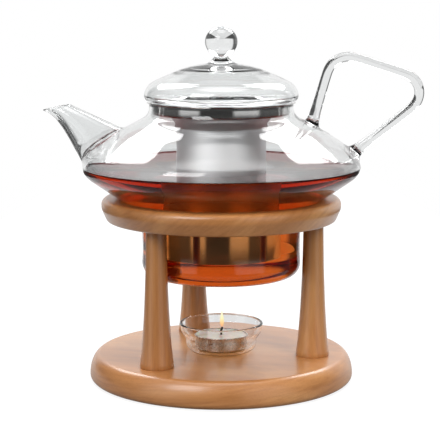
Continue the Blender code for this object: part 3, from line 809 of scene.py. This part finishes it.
def make_pot(glass):
    """The bowl with the spout and the handle fused to it, as one piece of glass."""
    outer = bowl_outer_path()
    pot = make_bowl_shell(outer, glass)
    combine(pot, make_spout_hole(), "DIFFERENCE")
    for part in (make_spout_shell(), make_handle_rod()):
        combine(part, make_wall_core(outer), "DIFFERENCE")
        combine(pot, part, "UNION")
    soften_seams(pot, SEAMS, reach=7, rounds=24)
    return place(pot, "pot", "glass", "pot_bowl", "spout", "handle")


def wet_the_glass(pot, wet_glass):
    """Gives the pot's inner faces below the tea's level the glass that meets tea instead of air."""
    pot.data.materials.append(wet_glass)
    inner = offset_path(bowl_outer_path(), POT_WALL)
    wet = [point for point in inner if point.y < TEA_LEVEL]
    for face in pot.data.polygons:
        middle = face.center / MM
        if middle.z > TEA_LEVEL:
            continue
        radius = math.hypot(middle.x, middle.y)
        nearest = min((Vector((radius, middle.z)) - point).length for point in wet)
        if nearest < WET_REACH:
            face.material_index = 1


def make_tea(tea, tea_side):
    """The tea, whose sides reach a little into the glass so that no air shows between them."""
    inner = bowl_inner_path(bowl_outer_path(), TEA_INSET)
    wet = [point for point in inner if point.y < TEA_LEVEL]
    edge = wet[0].x - MENISCUS_INSET
    meniscus = []
    for step in range(MENISCUS_STEPS + 1):
        t = step / MENISCUS_STEPS
        meniscus.append(Vector((edge - MENISCUS_WIDTH * t, TEA_LEVEL - MENISCUS_RISE * (1 - (1 - t) ** 2))))
    surface = [Vector((0.0, TEA_LEVEL - MENISCUS_RISE))] + meniscus[::-1]
    body = turned("tea", surface + wet, POT_SIDES, tea, sharp_angle=60.0)
    body.data.materials.append(tea_side)
    facing_up = 0.2
    for face in body.data.polygons:
        if face.normal.z < facing_up:
            face.material_index = 1
    return place(body, "pot", "tea")


# ------------------------ lid

def make_lid(glass):
    """The dome with its folded rim and skirt, and the solid knob drawn up from its top."""
    rim_z = top_of("infuser_rim") + REST_GAP
    rim_inside_z = rim_z + LID_RIM_WALL
    skirt_inside = SKIRT_RADIUS - SKIRT_WALL
    dome_inside = LID_RADIUS - LID_WALL
    knob_top = top_of("lid_knob")
    knob = arc((0.0, knob_top - KNOB_RADII[1]), KNOB_RADII, 90, KNOB_END_ANGLE, steps=36)
    dome = smooth_path([
        knob[-1],
        (*KNOB_STEM, 2.0),
        (*KNOB_FOOT, 5.0),
        (*DOME_CROWN, DOME_BEND),
        (LID_RADIUS, DOME_EDGE_Z, 11.5),
        (LID_RADIUS, rim_z, 3.4),
        (SKIRT_RADIUS, rim_z, 1.2),
        (SKIRT_RADIUS, SKIRT_FOOT_Z),
    ], spacing=0.9, rounds=4)
    half_skirt = SKIRT_WALL / 2
    skirt_end = arc((SKIRT_RADIUS - half_skirt, SKIRT_FOOT_Z), (half_skirt, half_skirt), 0, -180, steps=8)
    under = smooth_path([
        (skirt_inside, SKIRT_FOOT_Z),
        (skirt_inside, rim_inside_z, 1.5),
        (dome_inside, rim_inside_z, 2.4),
        (dome_inside, DOME_EDGE_INSIDE_Z, 9.5),
        (*DOME_CROWN_INSIDE, DOME_BEND),
        (0.0, DOME_TOP_INSIDE_Z),
    ], spacing=0.9, rounds=3)
    profile = [Vector((0.0, knob_top))] + knob[1:] + dome[1:] + skirt_end[1:-1] + under[:-1]
    profile.append(Vector((0.0, under[-1].y)))
    return place(turned("lid_glass", profile, 160, glass), "lid", "glass", "lid_dome", "lid_knob")


# ------------------------ infuser

def make_infuser(polished, satin):
    """The pressed rim and shoulder, the basket's tube and its perforated bottom."""
    make_infuser_rim(polished, satin)
    make_basket_wall(satin)
    make_basket_bottom(satin)


def make_infuser_rim(polished, satin):
    """The lip that hangs on the pot's rim, the collar, the shoulder and the cone down to the basket."""
    lip_z = top_of("pot_bowl") + REST_GAP / 2
    underside = rounded_path([
        (LIP_RADIUS, lip_z + LIP_CURL),
        (LIP_RADIUS - LIP_CURL, lip_z, 0.3),
        (COLLAR_RADIUS, lip_z, 0.7),
        (COLLAR_RADIUS, COLLAR_FOOT_Z, 2.2),
        (*CONE_TOP, 2.5),
        CONE_FOOT,
    ])
    rim = turned("steel_rim", underside + offset_path(underside, RIM_WALL)[::-1], INFUSER_SIDES, polished)
    satin_the_inside(rim, satin)
    place(rim, "infuser", "stainless_steel", "infuser_rim")


def satin_the_inside(rim, satin):
    """Leaves only the outside of the rim's lip and collar polished."""
    rim.data.materials.append(satin)
    for face in rim.data.polygons:
        outward = face.normal.x * face.center.x + face.normal.y * face.center.y
        if outward < 0 or face.center.z < POLISHED_ABOVE * MM:
            face.material_index = 1


def make_basket_wall(satin):
    """The basket's tube."""
    low = BASKET_BOTTOM + BASKET_WALL
    high = top_of("infuser_wall")
    inner = BASKET_RADIUS - BASKET_WALL
    corners = [(inner, low), (BASKET_RADIUS, low), (BASKET_RADIUS, high), (inner, high)]
    tube = turned("steel_basket", [Vector(corner) for corner in corners], INFUSER_SIDES, satin)
    place(tube, "infuser", "stainless_steel", "infuser_wall")


def make_basket_bottom(satin):
    """The perforated cap pressed into the tube's lower end."""
    outside = rounded_path([
        (0.0, BASKET_BOTTOM),
        (BOTTOM_CAP_RADIUS, BASKET_BOTTOM, 1.8),
        (BOTTOM_CAP_RADIUS, BASKET_BOTTOM + BOTTOM_CAP_HEIGHT),
    ])
    inside = offset_path(outside, -BASKET_WALL)
    inside[0] = Vector((0.0, inside[0].y))
    cap = turned("steel_basket_bottom", outside + inside[::-1], INFUSER_SIDES, satin)
    combine(cap, make_basket_holes(BASKET_BOTTOM), "DIFFERENCE")
    place(cap, "infuser", "stainless_steel", "infuser_bottom")


def make_basket_holes(z, rings=6, pitch=5.0, radius=1.1, depth=4.0):
    """Rings of small round holes about the axis, six more in each ring than in the one inside it."""
    builder = bmesh.new()
    for ring in range(rings):
        count = max(1, 6 * ring)
        for index in range(count):
            angle = 2 * math.pi * index / count
            made = bmesh.ops.create_cone(builder, cap_ends=True, segments=12, depth=depth * MM,
                                         radius1=radius * MM, radius2=radius * MM)
            spot = Vector((pitch * ring * math.cos(angle), pitch * ring * math.sin(angle), z))
            bmesh.ops.translate(builder, verts=made["verts"], vec=spot * MM)
    return finish_mesh("basket_holes", builder, None)


# ------------------------ wooden warmer

def make_ring():
    """The turned ring with its conical seat."""
    low = bottom_of("stand_ring")
    high = top_of("stand_ring")
    rise = (EQUATOR_CORNER[1] - WELL_CORNER[1]) / (EQUATOR_CORNER[0] - WELL_CORNER[0])
    bore_top = WELL_CORNER[1] + rise * (RING_BORE - WELL_CORNER[0]) - SEAT_GAP
    seat_top = RING_BORE + (high - bore_top) / rise
    profile = rounded_loop([
        (RING_BORE, low, 1.0),
        (RING_FOOT_RADIUS, low, 2.4),
        (RING_RADIUS, RING_SIDE_Z, 8.0),
        (RING_RADIUS, high, 4.2),
        (seat_top, high, 1.2),
        (RING_BORE, bore_top, 1.5),
    ])
    wood = wood_material("ring_wood", (math.radians(-90), math.radians(53), 0.0))
    place(turned("wooden_ring", profile, 192, wood), "stand", "wood", "stand_ring")


def make_base():
    """The round base with its tall rounded edge and the screws' recesses underneath."""
    high = top_of("stand_base")
    radius = radius_of("stand_base")
    foot = arc((radius - BASE_FOOT_BEND, BASE_FOOT_BEND), (BASE_FOOT_BEND, BASE_FOOT_BEND), -90, 0, steps=8)
    side = arc((radius - BASE_SIDE_BEND, BASE_FOOT_BEND), (BASE_SIDE_BEND, high - BASE_FOOT_BEND), 0, 90,
               steps=20)
    profile = [Vector((0.0, 0.0))] + foot + side[1:] + [Vector((0.0, high))]
    wood = wood_material("base_wood", (math.radians(14), math.radians(84), 0.0))
    base = turned("wooden_base", profile, 192, wood)
    well = [Vector(point) for point in SCREW_WELL]
    for centre in leg_places().values():
        combine(base, turned("screw_well", well, 32, centre=centre), "DIFFERENCE")
    place(base, "stand", "wood", "stand_base")


def leg_places():
    """Each leg's axis, in millimetres."""
    places = {}
    for side, angle in LEG_ANGLES.items():
        turn = math.radians(angle)
        places[side] = (LEG_CIRCLE * math.cos(turn), LEG_CIRCLE * math.sin(turn))
    return places


def make_legs():
    """Three tapered legs that meet the base and the ring."""
    low = top_of("stand_base") - LEG_SINK
    high = bottom_of("stand_ring") + LEG_SINK
    corners = [(LEG_FOOT_RADIUS, low + LEG_CHAMFER[1]), *LEG_TAPER, (LEG_TOP_RADIUS, high)]
    taper = relax(resample([Vector(corner) for corner in corners], 3.0), 6)
    foot = [Vector((0.0, low)), Vector((LEG_FOOT_RADIUS - LEG_CHAMFER[0], low))]
    profile = foot + taper + [Vector((0.0, high))]
    for index, (side, centre) in enumerate(leg_places().items()):
        wood = wood_material("leg_wood_" + side, (0.0, 0.0, math.radians(70 * index)), tone=0.94)
        leg = turned("wooden_leg_" + side, profile, 96, wood, centre=centre)
        place(leg, "stand", "wood", "leg_" + side)


# ------------------------ candle

def make_holder(glass):
    """The glass cup with a flared, beaded rim."""
    low = top_of("stand_base") + REST_GAP
    outside = smooth_path([
        (0.0, low),
        (HOLDER_RADIUS, low, 6.5),
        (HOLDER_RADIUS, HOLDER_SIDE_TOP, 4.0),
        (*HOLDER_FLARE, 7.0),
        (HOLDER_RIM_RADIUS, top_of("candle_holder") - HOLDER_BEAD_RADII[1]),
    ], spacing=0.6, rounds=3)
    inside = offset_path(outside, -HOLDER_WALL)
    inside[0] = Vector((0.0, inside[0].y))
    bead = arc((outside[-1] + inside[-1]) / 2, HOLDER_BEAD_RADII, 0, 180, steps=10)
    profile = outside + bead + inside[::-1]
    place(turned("candle_glass", profile, 128, glass), "holder", "candle_glass", "candle_holder")


def make_tealight_cup(aluminium):
    """The drawn cup with its rolled rim."""
    low = bottom_of("tealight_cup")
    high = top_of("tealight_cup")
    side = radius_of("tealight_cup") - CUP_ROLL_RADII[0]
    outside = rounded_path([(0.0, low), (side, low, 1.4), (side, high - CUP_SIDE_DROP)])
    inside = offset_path(outside, -CUP_WALL)
    inside[0] = Vector((0.0, inside[0].y))
    roll = arc((side + 0.1, high - CUP_ROLL_RADII[1]), CUP_ROLL_RADII, -60, 190, steps=10)
    cup = turned("aluminium_cup", outside + roll + inside[::-1], CANDLE_SIDES, aluminium)
    place(cup, "tealight", "aluminium", "tealight_cup")


def make_wax(wax):
    """The melted wax, which climbs a little at the cup and at the wick."""
    low = bottom_of("tealight_cup") + WAX_FOOT_GAP
    level = top_of("tealight_wax")
    edge = radius_of("tealight_cup") - WAX_INSET
    surface = [Vector((edge, level + 0.5)), Vector((edge - 0.8, level + 0.1)), Vector((edge - 2.5, level)),
               Vector((3.0, level - 0.1)), Vector((1.4, level + 0.1)), Vector((WAX_BORE, level + 0.5))]
    surface = relax(resample(surface, 0.7), 2)
    underside = [Vector((WAX_BORE, low)), Vector((edge, low))]
    pool = turned("melted_wax", surface + underside, CANDLE_SIDES, wax, sharp_angle=60.0)
    place(pool, "tealight", "wax", "tealight_wax")


def make_wick(material):
    """The braided wick, bent over at its tip."""
    low = bottom_of("tealight_cup") + WICK_FOOT_GAP
    path = smooth_path([(0.0, low), WICK_CORNER, WICK_TIP], spacing=0.4, rounds=2)
    rings = []
    for index, ring in enumerate(rod_rings(path, [WICK_RADIUS] * len(path), WICK_SIDES)):
        centre = sum(ring, Vector()) / len(ring)
        braided = []
        for place_index, point in enumerate(ring):
            angle = place_index * math.tau / WICK_SIDES
            swell = 1.0 + WICK_STRAND_SWELL * math.cos(WICK_STRANDS * angle + index * WICK_TWIST)
            braided.append(centre + (point - centre) * swell)
        rings.append(braided)
    place(lofted("braided_wick", rings, material), "tealight", "wick", "tealight_wick")


def make_flame(steps=24):
    """The flame, a drop that is widest below its middle and gives no shadow."""
    bulge = 0.62
    narrowing = 0.25
    drop = []
    for index in range(steps + 1):
        t = index / steps
        width = FLAME_WIDTH * math.sin(math.pi * t ** bulge) * (1.0 - narrowing * t)
        drop.append(Vector((max(width, 0.0), FLAME_FOOT + (FLAME_TIP - FLAME_FOOT) * t)))
    drop[0].x = drop[-1].x = 0.0
    flame = turned("flame", drop, 32, flame_material(), sharp_angle=180.0, centre=FLAME_AXIS)
    flame.visible_shadow = False
    place(flame, "tealight", "flame")


# ------------------------ hidden pieces that keep their CAD meshes

def finish_cad_nodes(zinc):
    """Materials for the dowels, screws and the wick's sustainer."""
    dowel_wood = wood_material("dowel_wood", (0.0, 0.0, 0.0), tone=1.15)
    for name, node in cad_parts.items():
        if name.startswith("dowel"):
            node.data.materials.clear()
            node.data.materials.append(dowel_wood)
        if name.startswith("screw") or name == "wick_sustainer":
            node.data.materials.clear()
            node.data.materials.append(zinc)


# ------------------------ studio

def make_camera():
    """A long lens, a little above the pot and looking slightly down."""
    camera = bpy.data.cameras.new("camera")
    camera.lens = 124.4
    camera.sensor_width = 36.0
    camera.clip_start = 0.01
    holder = bpy.data.objects.new("camera", camera)
    holder.location = CAMERA_PLACE
    holder.rotation_euler = (math.radians(90 - CAMERA_TILT), 0.0, 0.0)
    bpy.context.scene.collection.objects.link(holder)
    bpy.context.scene.camera = holder


def band(tree, height, start, end, low=0.0, high=1.0):
    """A value that goes from low to high between two elevations, in degrees, of a direction's height."""
    return tree.map_range(height, low, high, math.sin(math.radians(start)), math.sin(math.radians(end)))


def room_around(tree, split):
    """The brightness of the room's walls by azimuth."""
    azimuth = tree.add("ShaderNodeMath", operation="ARCTAN2")
    tree.link(split.outputs["X"], azimuth.inputs[0])
    tree.link(split.outputs["Y"], azimuth.inputs[1])
    turn = tree.map_range(azimuth.outputs[0], 0.0, 1.0, -math.pi, math.pi)
    stops = []
    for start, end, value in ROOM_ZONES:
        for edge in (start + ZONE_BLUR, end - ZONE_BLUR):
            stops.append(((edge + 180) / 360, (value, value, value)))
    return tree.ramp(turn, stops)


def make_world():
    """The room: walls with reflectors, a dark band above them, a bright ceiling and a dark floor."""
    world = bpy.data.worlds.new("studio")
    bpy.context.scene.world = world
    world.use_nodes = True
    tree = NodeTree(world.node_tree)
    split = tree.add("ShaderNodeSeparateXYZ")
    tree.link(tree.add("ShaderNodeTexCoord").outputs["Generated"], split.inputs["Vector"])
    height = split.outputs["Z"]
    above = band(tree, height, *WALL_TOP)
    ceiling = band(tree, height, *CEILING_EDGE, DARK_BAND, CEILING)
    room = tree.mix(above, room_around(tree, split), ceiling)
    room = tree.mix(band(tree, height, *FLOOR_EDGE), room, (FLOOR, FLOOR, FLOOR, 1.0))
    path = tree.add("ShaderNodeLightPath")
    seen = tree.mix(path.outputs["Is Camera Ray"], room, (1.0, 1.0, 1.0, 1.0))
    background = tree.nodes["Background"]
    tree.link(seen, background.inputs["Color"])
    background.inputs["Strength"].default_value = 1.0


def make_softbox(name, location, size, power, reflected):
    """A square light that faces the object. The camera never sees it, and reflections do only if asked."""
    light = bpy.data.lights.new(name, "AREA")
    light.shape = "RECTANGLE"
    light.size = light.size_y = size
    light.energy = power
    holder = bpy.data.objects.new(name, light)
    holder.location = location
    direction = Vector(LIGHTS_AIM) - Vector(location)
    holder.rotation_euler = direction.to_track_quat("-Z", "Y").to_euler()
    holder.visible_camera = False
    holder.visible_glossy = reflected
    holder.visible_transmission = reflected
    bpy.context.scene.collection.objects.link(holder)


def table_material():
    """Grey, with a glow that is even for the camera and rises towards the back for everything else."""
    shader = Shader("white_table")
    shader.set(Base_Color=(TABLE_ALBEDO, TABLE_ALBEDO, TABLE_ALBEDO, 1.0), Roughness=0.9)
    shader.set(Emission_Color=(1.0, 1.0, 1.0, 1.0))
    split = shader.add("ShaderNodeSeparateXYZ")
    shader.link(shader.coordinates(), split.inputs["Vector"])
    lit = shader.map_range(split.outputs["Y"], 0.0, TABLE_BACK_GLOW, *TABLE_GLOW_EDGE)
    path = shader.add("ShaderNodeLightPath")
    strength = shader.add("ShaderNodeMix")
    # For single values, the factor is socket 0 and the two values are sockets 2 and 3
    shader.link(path.outputs["Is Camera Ray"], strength.inputs[0])
    shader.link(lit, strength.inputs[2])
    strength.inputs[3].default_value = TABLE_GLOW
    shader.link(strength.outputs[0], shader.principled.inputs["Emission Strength"])
    return shader.material


def make_table():
    """A table that narrows away from the camera, with its front edge in front of the base."""
    builder = bmesh.new()
    bmesh.ops.create_grid(builder, x_segments=8, y_segments=8, size=1.0)
    for vert in builder.verts:
        vert.co.y = vert.co.y + TABLE_CENTRE_Y
        vert.co.x *= TABLE_HALF_WIDTH - TABLE_TAPER * vert.co.y
    table = finish_mesh("table", builder, table_material())
    table.location.z = -0.0002


def make_studio():
    """The table, the room, the lights and the colour settings."""
    make_table()
    make_world()
    for name, location, size, power, reflected in SOFTBOXES:
        make_softbox(name + "_softbox", location, size, power, reflected)
    scene = bpy.context.scene
    scene.view_settings.view_transform = "Standard"
    scene.cycles.max_bounces = GLASS_BOUNCES
    scene.cycles.transmission_bounces = GLASS_BOUNCES
    scene.cycles.transparent_max_bounces = GLASS_BOUNCES
    scene.cycles.glossy_bounces = GLOSSY_BOUNCES


def main():
    """Makes the visual model and its studio."""
    make_camera()
    glass = glass_material("blown_glass", GLASS_TINT, ripple=0.025)
    candle_glass = glass_material("candle_glass", CANDLE_GLASS_TINT, ripple=0.03)
    zinc = metal_material("zinc_plating", (0.5, 0.51, 0.5), roughness=0.4, grain_scale=400.0)
    # The tealight cup's colour is darkened and warmed towards brown: a painted reflection of the wooden
    # base around it
    aluminium = metal_material("aluminium_with_painted_wood_reflection", (0.66, 0.61, 0.56), roughness=0.26, grain_scale=500.0)
    pot = make_pot(glass)
    wet_the_glass(pot, glass_material("wet_glass", GLASS_TINT, ripple=0.0, ior=GLASS_IOR / TEA_IOR))
    make_tea(tea_material("amber_tea", TEA_IOR), tea_material("tea_in_glass", 1.0))
    make_lid(glass)
    make_infuser(polished_steel_material(), basket_material())
    make_ring()
    make_base()
    make_legs()
    make_holder(candle_glass)
    make_tealight_cup(aluminium)
    make_wax(wax_material())
    make_wick(wick_material())
    make_flame()
    finish_cad_nodes(zinc)
    make_studio()


main()
